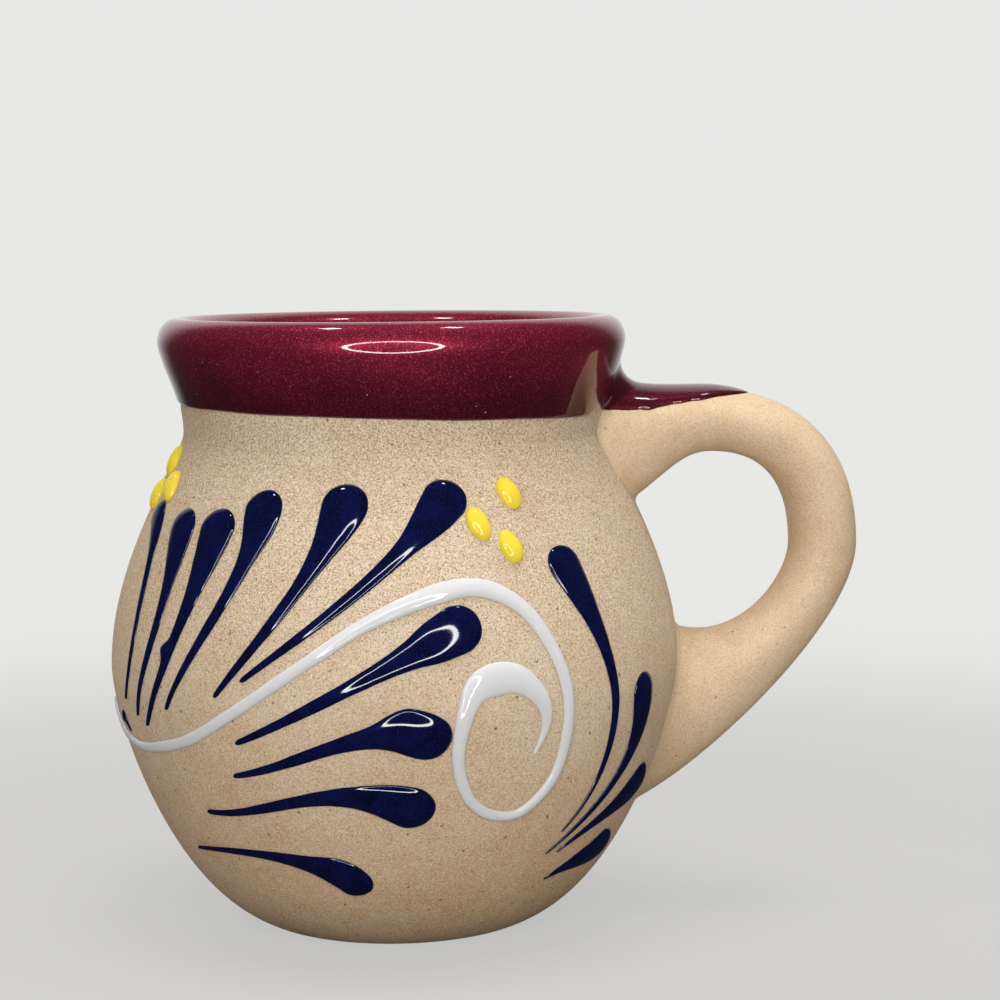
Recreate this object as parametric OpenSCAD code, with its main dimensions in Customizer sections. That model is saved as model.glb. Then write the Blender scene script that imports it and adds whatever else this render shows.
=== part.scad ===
// Round clay mug with a glazed collar, a luted handle and raised slip decoration.
// Millimetres, +Z up. The origin is the centre of the foot, on the axis of the pot.
// The handle points along +X, and the front decoration faces -Y.

/* [Pot] */
// Outside radius of the flat foot
foot_r = 22; // [19:0.5:25]
// How far the wall swings out just above the foot
foot_flare = 15.5; // [13:0.5:18]
// How far the wall climbs in that swing
foot_lift = 6; // [5:0.25:7]
// Widest outside radius
belly_r = 46; // [44:0.5:48]
// Height of the widest ring above the foot
belly_z = 42; // [39:0.5:45]
// Upright stretch of the wall below the widest ring
belly_drop = 8; // [6:0.5:12]
// Upright stretch of the wall above the widest ring
belly_rise = 17; // [14:0.5:19]
// How far the neck draws in from the widest ring
neck_in = 12.3; // [11.5:0.1:13]
// Height of the neck's narrowest ring above the widest ring
shoulder_h = 37; // [34:0.5:40]
// Upright stretch of the wall below the neck
neck_drop = 3; // [2:0.25:5]
// Thickness of the clay wall
wall = 4.5; // [3.5:0.25:5.5]
// Thickness of the clay floor
floor_t = 6; // [4.5:0.25:8]
// Radius of the flat part of the floor inside
floor_r = 14; // [10:0.5:17]

/* [Collar] */
// Height of the collar's lower edge above the neck's narrowest ring
throat_h = 4; // [3:0.25:5]
// How far the neck opens before it meets the collar
collar_flare = 0.4; // [0.2:0.05:0.8]
// Height of the clay collar, from its lower edge to the rim
collar_h = 14; // [12:0.25:16]
// How far the collar swells out past the neck below it
collar_out = 3; // [2.4:0.1:3.6]
// Depth of the rounded lip above the fullest ring
lip_h = 3.2; // [2.6:0.1:4]
// Distance of the lip's crest in from the fullest ring
lip_out = 2.5; // [2:0.1:3]
// Distance of the mouth in from the lip's crest
lip_in = 3.2; // [2.7:0.1:3.7]

/* [Glaze] */
// Thickness of the glaze coat
glaze_t = 0.4; // [0.25:0.05:0.6]
// Angle round the handle to the edge of the glaze run, from its top
run_angle = 58; // [45:1:68]
// Clearance between a coat or a bead and the clay under it
seat_gap = 0.05; // [0.03:0.01:0.08]

/* [Handle] */
// How far the handle reaches out past the belly
handle_out = 29.5; // [27:0.5:33]
// Height of the handle's top line above the collar's lower edge
handle_rise = 2.4; // [1.6:0.1:3.4]
// Distance of the handle's crown out from the collar
crown_out = 12.9; // [11:0.1:15]
// How far below its top line the handle reaches out the most
bend_drop = 25.4; // [23.4:0.2:28]
// Thickness of the handle at its crown
crown_t = 10.4; // [9:0.2:11]
// Thickness of the handle at its outermost point
bend_t = 11; // [9.5:0.25:12]
// Width of the handle across
handle_w = 14; // [12:0.5:16]
// Extra width of the upper root, each side
upper_root_w = 3.5; // [2:0.25:5]
// Extra width of the lower root, each side
lower_root_w = 3; // [1.5:0.25:4]
// How far below the widest ring the handle's lower line enters the pot
tail_drop = 24; // [22:0.5:26]
// Height of the finger hole's lower corner above the widest ring, inside the pot
hole_low_rise = 8.5; // [6:0.5:11]
// Depth of the finger hole's upper corner below its crown, inside the pot
hole_high_drop = 13; // [11:0.5:15]
// Clearance between the handle's roots and the pot
root_gap = 0.08; // [0.05:0.01:0.15]

/* [Slip] */
// Width of the widest navy head
navy_w = 8; // [6.5:0.25:8.5]
// Height of the widest navy head above the clay
navy_h = 1.15; // [0.7:0.05:1.5]
// Height that even a thin tail keeps
tail_h = 0.15; // [0.1:0.05:0.3]
// Width of the white line
scroll_w = 2.15; // [1.6:0.05:2.4]
// Height of the white line above the clay
scroll_h = 0.6; // [0.4:0.05:0.9]
// Width of a yellow dot
dot_w = 3.5; // [2.8:0.1:3.8]
// Length of a yellow dot
dot_l = 5.2; // [4.4:0.1:5.6]
// Height of a yellow dot above the clay
dot_h = 1.2; // [0.8:0.05:1.5]

/* [Hidden] */
// Steps along one curve of the pot's outline
outline_steps = 9;
// Steps along each of the three curves of the handle
handle_steps = 9;
// Points round the handle
handle_sides = 20;
// Steps across the glaze run
run_steps = 8;
$fn = 96;

sides = ["front", "back"];
high_count = 6;
low_count = 4;
near_count = 4;

function numbered(stem, count) = [for (i = [1 : count]) str(stem, i)];
function side_nodes(side) = concat(
    numbered(str(side, "_high_stroke_"), high_count),
    numbered(str(side, "_low_stroke_"), low_count),
    numbered(str(side, "_near_stroke_"), near_count),
    [str(side, "_short_stroke"), str(side, "_scroll"),
     str(side, "_dots"), str(side, "_far_dots")]);

clay_colour = "#cdb08a";
glaze_colour = "#641226";
navy_colour = "#141848";
white_colour = "#dfe3ec";
yellow_colour = "#e8cf2a";

// A cubic curve through a and d, drawn towards b and c
function curve_point(a, b, c, d, t) =
    pow(1 - t, 3) * a + 3 * pow(1 - t, 2) * t * b + 3 * (1 - t) * t * t * c + t * t * t * d;
function curve(a, b, c, d, steps) = [for (i = [0 : steps]) curve_point(a, b, c, d, i / steps)];
function without_first(list) = [for (i = [1 : len(list) - 1]) list[i]];
function reversed(list) = [for (i = [len(list) - 1 : -1 : 0]) list[i]];
function unit(v) = v / norm(v);

// The outline of the clay, from the foot's edge up the outside, over the lip and down inside.
// Each point is [radius, height].
neck_r = belly_r - neck_in;
neck_z = belly_z + shoulder_h;
inner_neck_r = neck_r - wall;
inner_belly_r = belly_r - wall;
collar_z = neck_z + throat_h;
rim_z = collar_z + collar_h;
full_z = rim_z - lip_h;
root_r = neck_r + collar_flare;
collar_r = root_r + collar_out;
crest_r = collar_r - lip_out;
mouth_r = crest_r - lip_in;
// How strongly the collar's side is drawn straight at its root and at its fullest ring
root_pull_share = 0.12;
full_pull_share = 0.24;
inner_pull_share = 0.8;

body_path = concat(
    curve([foot_r, 0], [foot_r + foot_flare, foot_lift],
        [belly_r, belly_z - belly_drop], [belly_r, belly_z], 2 * outline_steps),
    without_first(curve([belly_r, belly_z], [belly_r, belly_z + belly_rise],
        [neck_r, neck_z - neck_drop], [neck_r, neck_z], 2 * outline_steps)),
    without_first(curve([neck_r, neck_z], [neck_r, (neck_z + collar_z) / 2],
        [root_r, (neck_z + collar_z) / 2], [root_r, collar_z], 3)));

collar_path = concat(
    curve([root_r, collar_z],
        [root_r + (collar_r - root_r) * root_pull_share, collar_z + (full_z - collar_z) * root_pull_share],
        [collar_r, full_z - (full_z - collar_z) * full_pull_share], [collar_r, full_z], outline_steps),
    [for (i = [1 : outline_steps])
        let (a = 90 * i / outline_steps)
        [crest_r + (collar_r - crest_r) * cos(a), full_z + lip_h * sin(a)]],
    [for (i = [1 : outline_steps])
        let (a = 90 * i / outline_steps)
        [crest_r - (crest_r - mouth_r) * sin(a), full_z + lip_h * cos(a)]]);

inside_path = concat(
    curve([mouth_r, full_z], [mouth_r, collar_z], [inner_neck_r, collar_z],
        [inner_neck_r, neck_z - neck_drop], outline_steps),
    without_first(curve([inner_neck_r, neck_z - neck_drop], [inner_neck_r, neck_z - 2 * neck_drop],
        [inner_belly_r, belly_z + belly_rise], [inner_belly_r, belly_z], 2 * outline_steps)),
    without_first(curve([inner_belly_r, belly_z], [inner_belly_r, belly_z - belly_drop],
        [floor_r + foot_flare * inner_pull_share, floor_t], [floor_r, floor_t],
        2 * outline_steps)),
    [[0, floor_t]]);

// A path moved off the clay by a distance
function path_normal(path, i) =
    let (last = len(path) - 1, a = path[max(i - 1, 0)], b = path[min(i + 1, last)], d = unit(b - a))
    [d[1], -d[0]];
function offset_path(path, away) = [for (i = [0 : len(path) - 1]) path[i] + away * path_normal(path, i)];

// The solid of revolution under a path, closed at the axis
module filled(path) {
    rotate_extrude()
        polygon(concat([[0, path[0][1]]], path, [[0, path[len(path) - 1][1]]]));
}

// A coat of glaze that lies on a path
module coat(path) {
    rotate_extrude()
        polygon(concat(offset_path(path, seat_gap),
            reversed(offset_path(path, seat_gap + glaze_t))));
}

module clay_pot() {
    color(clay_colour)
        rotate_extrude()
            polygon(concat([[0, 0]], body_path, without_first(collar_path),
                without_first(inside_path)));
}

module liner_glaze() {
    color(glaze_colour) coat(inside_path);
}

module rim_glaze() {
    color(glaze_colour) coat(collar_path);
}

// The outside of the glazed pot, grown by a clearance, which the handle's roots are cut to
module pot_outside(gap) {
    outer_collar = [for (i = [0 : 2 * outline_steps]) collar_path[i]];
    filled(offset_path(body_path, gap));
    filled(offset_path(outer_collar, seat_gap + glaze_t + gap));
}

// The handle's two side outlines, each three curves end to end, as [distance from axis, height].
// They start and end inside the pot.
handle_reach = belly_r + handle_out;
handle_top_z = collar_z + handle_rise;
crown_x = collar_r + crown_out;
bend_z = handle_top_z - bend_drop;
tail_z = belly_z - tail_drop;
hole_low_z = belly_z + hole_low_rise;
root_x = neck_r - 2 * wall;
root_rise_share = 1.4;
root_rise = root_rise_share * wall;
// How far past the handle's crown the hole's crown lies
crown_shift_share = 0.1;
hole_top_z = handle_top_z - crown_t;
hole_high_z = hole_top_z - hole_high_drop;
hole_reach = handle_reach - bend_t;
// How strongly each outline is drawn straight: before the crown, after it, above the bend
// and below it
out_pull_shares = [0.4, 0.44, 0.79, 0.41];
in_pull_shares = [0.53, 0.7, 0.66, 0.82];
// How far the hole's outline climbs straight from its upper corner
corner_rise_share = 0.2;
// The last pull of the hole's outline, which rounds its lower corner
corner_shares = [0.14, 0.28];
hole_crown_x = crown_x + crown_shift_share * (hole_reach - crown_x);
out_line = [
    [root_x, handle_top_z + root_rise],
    [collar_r, handle_top_z - glaze_t],
    [crown_x - out_pull_shares[0] * (crown_x - root_x), handle_top_z],
    [crown_x, handle_top_z],
    [crown_x + out_pull_shares[1] * (handle_reach - crown_x), handle_top_z],
    [handle_reach, bend_z + out_pull_shares[2] * (handle_top_z - bend_z)],
    [handle_reach, bend_z],
    [handle_reach, bend_z - out_pull_shares[3] * (bend_z - tail_z)],
    [neck_r, tail_z - 2 * wall],
    [neck_r, tail_z]];
in_line = [
    [root_x, hole_high_z],
    [inner_belly_r, hole_high_z + corner_rise_share * hole_high_drop],
    [hole_crown_x - in_pull_shares[0] * (hole_reach - crown_x), hole_top_z],
    [hole_crown_x, hole_top_z],
    [crown_x + in_pull_shares[1] * (hole_reach - crown_x), hole_top_z],
    [hole_reach, bend_z + in_pull_shares[2] * (hole_top_z - bend_z)],
    [hole_reach, bend_z],
    [hole_reach, bend_z - in_pull_shares[3] * (bend_z - hole_low_z)],
    [crown_x + corner_shares[0] * (hole_reach - crown_x), hole_low_z - corner_shares[1] * belly_z],
    [inner_belly_r - wall / 2, hole_low_z]];

function line_point(line, t) =
    let (k = min(floor(t), 2), f = t - k)
    curve_point(line[3 * k], line[3 * k + 1], line[3 * k + 2], line[3 * k + 3], f);

function handle_half_w(t) =
    handle_w / 2 + upper_root_w * pow(max(1 - t, 0), 2) + lower_root_w * pow(max(t - 2, 0), 2);

// A point of the handle's skin: t runs along it from 0 to 3, and v round it from the top line
function handle_point(t, v, lift) =
    let (o = line_point(out_line, t), i = line_point(in_line, t), half = (o - i) / 2,
         mid = (o + i) / 2, w = handle_half_w(t), r = norm(half), d = unit(half),
         out = unit([cos(v) / r, sin(v) / w]),
         along = r * cos(v) + lift * out[0], across = w * sin(v) + lift * out[1])
    [mid[0] + d[0] * along, across, mid[1] + d[1] * along];

// Triangles between rings of the same number of points
function ring_faces(rings, points) = [
    for (i = [0 : rings - 2], j = [0 : points - 1])
        let (a = i * points + j, b = i * points + (j + 1) % points, c = a + points, d = b + points)
        each [[a, b, d], [a, d, c]]];

module handle() {
    rings = 3 * handle_steps + 1;
    points = [for (i = [0 : rings - 1], j = [0 : handle_sides - 1])
        handle_point(i / handle_steps, 360 * j / handle_sides, 0)];
    first = [for (j = [handle_sides - 1 : -1 : 0]) j];
    last = [for (j = [0 : handle_sides - 1]) (rings - 1) * handle_sides + j];
    color(clay_colour)
        difference() {
            polyhedron(points, concat(ring_faces(rings, handle_sides), [first, last]));
            pot_outside(root_gap);
        }
}

// The run of glaze along the top of the handle, which thins to its edges and ends in a tongue
run_rows = handle_steps + 2;
run_gap = 2 * seat_gap + root_gap / 2;
// The width left at the tongue's tip, and the thickness left at the run's edges
run_tip_share = 0.06;
run_rim_share = 0.25;
function run_edge(i) = run_angle * max(sqrt(1 - pow(i / run_rows, 5)), run_tip_share);
function run_point(i, j, top) =
    let (s = 2 * j / run_steps - 1, thin = run_rim_share + (1 - run_rim_share) * sqrt(1 - s * s))
    handle_point(i / handle_steps, s * run_edge(i),
        run_gap + (top ? glaze_t * thin : 0));

module handle_glaze() {
    across = 2 * (run_steps + 1);
    points = [for (i = [0 : run_rows], k = [0 : across - 1])
        k <= run_steps ? run_point(i, k, true) : run_point(i, across - 1 - k, false)];
    first = [for (k = [across - 1 : -1 : 0]) k];
    last = [for (k = [0 : across - 1]) run_rows * across + k];
    color(glaze_colour)
        difference() {
            polyhedron(points, concat(ring_faces(run_rows + 1, across), [first, last]));
            pot_outside(root_gap);
        }
}

// Places on the pot: an angle from the handle, positive towards the front, and a height
radius_table = [for (p = body_path) [p[1], p[0]]];
function pot_r(z) = lookup(z, radius_table);
slope_step = wall / 4;
function pot_slope(z) = (pot_r(z + slope_step) - pot_r(z - slope_step)) / (2 * slope_step);
function on_pot(place, lift) =
    let (s = pot_slope(place[1]), k = sqrt(1 + s * s), r = pot_r(place[1]) + lift / k)
    [r * cos(place[0]), -r * sin(place[0]), place[1] - lift * s / k];

// A place moved across a direction on the clay's surface by a distance
function moved_across(place, direction, distance) =
    let (r = pot_r(place[1]), s = pot_slope(place[1]), k = sqrt(1 + s * s),
         east = direction[0] * r * PI / 180, north = direction[1] * k, l = norm([east, north]))
    [place[0] - north / l * distance / r * 180 / PI, place[1] + east / l * distance / k];

// A domed bead along a list of places, pointed at both ends, with its flat side on the clay.
// widths and heights hold one value for each place, and spans is the count across its back.
module bead(places, widths, heights, spans) {
    n = len(places);
    under = 4;
    around = under + 1 + spans - 1;
    function heading(i) = places[min(i + 1, n - 1)] - places[max(i - 1, 0)];
    function under_point(i, j) =
        on_pot(moved_across(places[i], heading(i), widths[i] * (j / under - 0.5)), seat_gap);
    function over_point(i, j) =
        let (a = 180 * j / spans)
        on_pot(moved_across(places[i], heading(i), widths[i] / 2 * cos(a)),
            seat_gap + heights[i] * sin(a));
    rings = [for (i = [1 : n - 2], k = [0 : around - 1])
        k <= under ? under_point(i, k) : over_point(i, k - under)];
    tip = len(rings);
    points = concat(rings, [on_pot(places[0], seat_gap), on_pot(places[n - 1], seat_gap)]);
    tip_faces = [for (k = [0 : around - 1]) [tip, (k + 1) % around, k]];
    end_faces = [for (k = [0 : around - 1])
        [tip + 1, (n - 3) * around + k, (n - 3) * around + (k + 1) % around]];
    polyhedron(points, concat(ring_faces(n - 2, around), tip_faces, end_faces));
}

// Distances along a list of places, from its first
function leg(a, b) = norm(on_pot(b, 0) - on_pot(a, 0));
function distances(places) = [for (i = 0, d = 0; i < len(places);
    d = d + (i + 1 < len(places) ? leg(places[i], places[i + 1]) : 0), i = i + 1) d];

// Each stroke is [head, first pull, second pull, tail, width share]. The first four are places:
// degrees from the handle, and a share of the rim's height.
high_shares = [
    [[163, 0.697], [151.5, 0.692], [149.5, 0.469], [158, 0.378], 0.6],
    [[145.5, 0.71], [141, 0.586], [144.5, 0.49], [151.5, 0.386], 0.78],
    [[132.5, 0.714], [131.5, 0.613], [139.5, 0.453], [147.5, 0.375], 0.88],
    [[121, 0.747], [119, 0.635], [130, 0.528], [138.5, 0.413], 0.82],
    [[100, 0.757], [102.5, 0.659], [117, 0.524], [125.5, 0.443], 0.89],
    [[75.5, 0.758], [85.5, 0.677], [106, 0.545], [118.5, 0.471], 0.84]];
low_shares = [
    [[74, 0.56], [93, 0.499], [106, 0.419], [120.5, 0.371], 0.92],
    [[80.5, 0.37], [96, 0.424], [106.5, 0.34], [122.5, 0.315], 0.89],
    [[83, 0.255], [103.5, 0.336], [114.5, 0.242], [136.5, 0.246], 0.85],
    [[99, 0.122], [107.5, 0.2], [130, 0.179], [145.5, 0.162], 0.78]];
near_shares = [
    [[54, 0.654], [52, 0.583], [33.5, 0.34], [50, 0.214], 0.67],
    [[34.5, 0.441], [31, 0.306], [36, 0.25], [54, 0.182], 0.76],
    [[22.5, 0.264], [28, 0.229], [39, 0.209], [48, 0.194], 0.74],
    [[27.5, 0.155], [31.5, 0.143], [39.5, 0.146], [47, 0.115], 0.84]];
short_shares = [[162.5, 0.372], [161, 0.362], [160, 0.352], [158.5, 0.344], 0.3];

stroke_spans = 6;
// Where the rings of a stroke's round head stand, as shares of its width, and the greatest
// distance between the rings behind it
head_ring_shares = [0.04, 0.14, 0.32, 0.6];
ring_pitch = 3;
tail_share = 0.12;
taper_share = 0.34;
bulb_share = 0.54;
bulb_length_share = 0.24;

function stroke_width(d, length, w) =
    let (r = w / 2, u = max(d - r, 0) / (length - r), head = max(1 - d / r, 0))
    w * sqrt(1 - head * head) * (tail_share + taper_share * (1 - u)
        + bulb_share * exp(-pow(u / bulb_length_share, 2)));

function stroke_stations(length, w) =
    let (from = head_ring_shares[len(head_ring_shares) - 1] * w / length,
         steps = ceil((1 - from) * length / ring_pitch))
    concat([0], [for (share = head_ring_shares) share * w / length],
        [for (i = [1 : steps]) from + (1 - from) * i / steps]);

function place_of(share) = [share[0], share[1] * rim_z];
function mirrored(place, side) = side == "front" ? place : [-place[0], place[1]];

module stroke(shares, side) {
    ends = [for (k = [0 : 3]) mirrored(place_of(shares[k]), side)];
    w = navy_w * shares[4];
    length = leg(ends[0], ends[3]);
    places = [for (t = stroke_stations(length, w))
        curve_point(ends[0], ends[1], ends[2], ends[3], t)];
    along = distances(places);
    widths = [for (d = along) stroke_width(d, along[len(along) - 1], w)];
    heights = [for (width = widths) tail_h + (navy_h - tail_h) * width / navy_w];
    color(navy_colour) bead(places, widths, heights, stroke_spans);
}

// The white line rises from the far end, goes once round a ring and curls in to a crook.
// Each row is [degrees from the handle, share of the rim's height, share of the line's width].
scroll_shares = [
    [174, 0.38, 0.4], [166, 0.34, 0.6], [155, 0.327, 0.7], [145.5, 0.336, 0.8], [133.5, 0.363, 0.85],
    [121, 0.419, 0.85], [107.5, 0.493, 0.9], [95.5, 0.556, 1.05], [82.5, 0.597, 1.4], [72.5, 0.603, 1.3],
    [64, 0.565, 1.1], [58, 0.482, 0.95], [56, 0.393, 0.9], [57.5, 0.304, 0.85], [63.5, 0.252, 0.8],
    [70.5, 0.251, 0.8], [76, 0.284, 0.85], [78.5, 0.349, 0.95], [77, 0.425, 1.35],
    [74, 0.462, 2.2], [67.5, 0.467, 2.05], [62.5, 0.434, 1.25], [61, 0.391, 0.75], [63, 0.345, 0.2]];
scroll_steps = 4;
scroll_spans = 4;
// The line's height follows its width: what is added to the share, and the most it may be
scroll_rise_share = 0.2;
scroll_top_share = 1.1;

// A smooth line through every row of a table
function through(a, b, c, d, t) = (2 * b + (c - a) * t + (2 * a - 5 * b + 4 * c - d) * t * t
    + (3 * b - a - 3 * c + d) * t * t * t) / 2;
function smoothed(rows, steps) =
    let (last = len(rows) - 1)
    concat([for (i = [0 : last - 1], k = [0 : steps - 1])
        through(rows[max(i - 1, 0)], rows[i], rows[i + 1], rows[min(i + 2, last)], k / steps)],
        [rows[last]]);

module scroll(side) {
    rows = smoothed(scroll_shares, scroll_steps);
    places = [for (row = rows) mirrored(place_of(row), side)];
    widths = [for (row = rows) scroll_w * row[2]];
    heights = [for (row = rows) scroll_h * min(row[2] + scroll_rise_share, scroll_top_share)];
    color(white_colour) bead(places, widths, heights, scroll_spans);
}

// Each dot is [degrees from the handle, share of the rim's height]
dot_shares = [[62.5, 0.739], [71.5, 0.697], [65, 0.661]];
far_dot_shares = [[158.5, 0.737], [168.5, 0.719], [167, 0.773]];
dot_turn = 24;
// The rings of a dot's dome: a share of its width and a share of its height
dot_ring_shares = [[1, 0], [0.86, 0.5], [0.5, 0.87]];
dot_sides = 10;

module dots(shares, side) {
    function rim_place(place, a, s) =
        let (u = s * dot_w / 2 * cos(a), v = s * dot_l / 2 * sin(a),
             turned = [u * cos(dot_turn) + v * sin(dot_turn), v * cos(dot_turn) - u * sin(dot_turn)])
        [place[0] + turned[0] / pot_r(place[1]) * 180 / PI, place[1] + turned[1]];
    for (share = shares) {
        place = place_of(share);
        shell = [for (ring = dot_ring_shares, j = [0 : dot_sides - 1])
            on_pot(mirrored(rim_place(place, 360 * j / dot_sides, ring[0]), side),
                seat_gap + dot_h * ring[1])];
        n = len(shell);
        points = concat(shell, [on_pot(mirrored(place, side), seat_gap + dot_h),
            on_pot(mirrored(place, side), seat_gap)]);
        top = [for (j = [0 : dot_sides - 1])
            [n, n - dot_sides + j, n - dot_sides + (j + 1) % dot_sides]];
        bottom = [for (j = [0 : dot_sides - 1]) [n + 1, (j + 1) % dot_sides, j]];
        faces = concat(ring_faces(len(dot_ring_shares), dot_sides), top, bottom);
        color(yellow_colour) polyhedron(points, faces);
    }
}

clay_pot();
handle();
liner_glaze();
rim_glaze();
handle_glaze();
for (side = sides) {
    for (i = [1 : high_count])
        stroke(high_shares[i - 1], side);
    for (i = [1 : low_count])
        stroke(low_shares[i - 1], side);
    for (i = [1 : near_count])
        stroke(near_shares[i - 1], side);
    stroke(short_shares, side);
    scroll(side);
    dots(dot_shares, side);
    dots(far_dot_shares, side);
}
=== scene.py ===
import bpy
import numpy as np
from mathutils import Matrix


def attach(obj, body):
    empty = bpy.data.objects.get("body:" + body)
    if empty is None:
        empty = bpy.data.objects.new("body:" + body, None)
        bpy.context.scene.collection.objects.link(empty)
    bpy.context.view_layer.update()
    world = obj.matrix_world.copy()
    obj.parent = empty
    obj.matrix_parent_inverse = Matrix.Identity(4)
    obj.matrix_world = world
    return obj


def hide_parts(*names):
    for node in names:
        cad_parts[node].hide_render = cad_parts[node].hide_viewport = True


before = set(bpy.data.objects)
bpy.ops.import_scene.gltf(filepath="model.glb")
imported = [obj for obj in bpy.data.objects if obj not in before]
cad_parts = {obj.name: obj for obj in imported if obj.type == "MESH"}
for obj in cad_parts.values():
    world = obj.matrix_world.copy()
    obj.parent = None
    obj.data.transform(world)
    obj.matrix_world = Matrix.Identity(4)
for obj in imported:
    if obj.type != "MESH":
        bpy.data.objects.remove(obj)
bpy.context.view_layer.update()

mm = 0.001  # lengths below are millimetres, and meshes are metres
print("frame loaded:", len(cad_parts), "nodes")


# Curves and grids

def bezier(a, b, c, d, t):
    # Cubic curve: (1-t)^3 a + 3(1-t)^2 t b + 3(1-t) t^2 c + t^3 d, for a column of t
    t = np.asarray(t, float)[..., None]
    a, b, c, d = (np.asarray(p, float) for p in (a, b, c, d))
    return (1 - t) ** 3 * a + 3 * (1 - t) ** 2 * t * b + 3 * (1 - t) * t ** 2 * c + t ** 3 * d


def joined(controls, steps):
    # Cubic curves end to end: curve k runs through controls 3k to 3k+3 in steps[k] steps
    runs = [bezier(*controls[3 * k:3 * k + 4], np.linspace(0, 1, n + 1)[1:])
            for k, n in enumerate(steps)]
    return np.vstack([[controls[0]]] + runs)


def quarterEllipse(centre, across, up, steps, start, end):
    # centre + (across cos a, up sin a), with a in degrees from start to end, without its first point
    a = np.radians(np.linspace(start, end, steps + 1)[1:])
    return np.stack([centre[0] + across * np.cos(a), centre[1] + up * np.sin(a)], -1)


def smoothStep(low, high, x):
    # 3u^2 - 2u^3, with u the share of the way from low to high
    u = np.clip((np.asarray(x, float) - low) / (high - low), 0, 1)
    return u * u * (3 - 2 * u)


def ripple(seed, *phases):
    # Sum of four sines of the given phases at seeded rates and offsets, from about -1 to 1
    rng = np.random.default_rng(seed)
    total = 0
    for k in range(1, 5):
        turn = sum(phase * rng.uniform(0.6, 1.4) * k for phase in phases)
        total = total + np.sin(turn + rng.uniform(0, 2 * np.pi)) / k
    return total / 2


def roundRipple(seed, theta, waves):
    # Sum of sines of whole multiples of theta, so that it closes round the pot, from about -1 to 1
    rng = np.random.default_rng(seed)
    return sum(np.sin(k * theta + rng.uniform(0, 2 * np.pi)) / k ** 0.7 for k in waves) / len(waves) ** 0.5


def tubeMesh(rings, tipA, tipB):
    # Rings of points joined by four-sided faces, closed at each end by a fan to its tip.
    # The faces are turned outwards by the sign of the enclosed volume.
    count, around = rings.shape[:2]
    points = np.vstack([rings.reshape(-1, 3), [tipA, tipB]])
    i, j = np.meshgrid(np.arange(count - 1), np.arange(around), indexing="ij")
    a, b = i * around + j, i * around + (j + 1) % around
    quads = np.stack([a, b, b + around, a + around], -1).reshape(-1, 4)
    k = np.arange(around)
    n, last = count * around, (count - 1) * around
    fanA = np.stack([np.full(around, n), (k + 1) % around, k], -1)
    fanB = np.stack([np.full(around, n + 1), last + k, last + (k + 1) % around], -1)
    triangles = np.vstack([quads[:, :3], quads[:, [0, 2, 3]], fanA, fanB])
    p, q, r = points[triangles[:, 0]], points[triangles[:, 1]], points[triangles[:, 2]]
    if np.einsum("ij,ij->i", p, np.cross(q, r)).sum() < 0:
        quads, fanA, fanB = quads[:, ::-1], fanA[:, ::-1], fanB[:, ::-1]
    return points, quads, np.vstack([fanA, fanB])


def addPiece(name, shells, material, nodes):
    # One mesh from one or more closed shells, which stands for its CAD nodes
    points, faces, start = [], [], 0
    for rings, tipA, tipB in shells:
        shellPoints, quads, fans = tubeMesh(rings, tipA, tipB)
        points.append(shellPoints)
        faces += (quads + start).tolist() + (fans + start).tolist()
        start += len(shellPoints)
    mesh = bpy.data.meshes.new(name)
    mesh.from_pydata((np.vstack(points) * mm).tolist(), [], faces)
    mesh.polygons.foreach_set("use_smooth", np.ones(len(faces), bool))
    mesh.materials.append(material)
    mesh.update()
    piece = bpy.data.objects.new(name, mesh)
    bpy.context.scene.collection.objects.link(piece)
    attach(piece, "root")
    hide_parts(*nodes)


# Shader maths

class Flow:
    # One socket of a node tree. Sums and products of flows add their Math nodes.
    def __init__(self, finish, socket):
        self.finish, self.socket = finish, socket

    def __add__(self, other):
        return self.finish.math("ADD", self, other)

    def __sub__(self, other):
        return self.finish.math("SUBTRACT", self, other)

    def __mul__(self, other):
        return self.finish.math("MULTIPLY", self, other)

    __radd__ = __add__
    __rmul__ = __mul__


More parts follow.
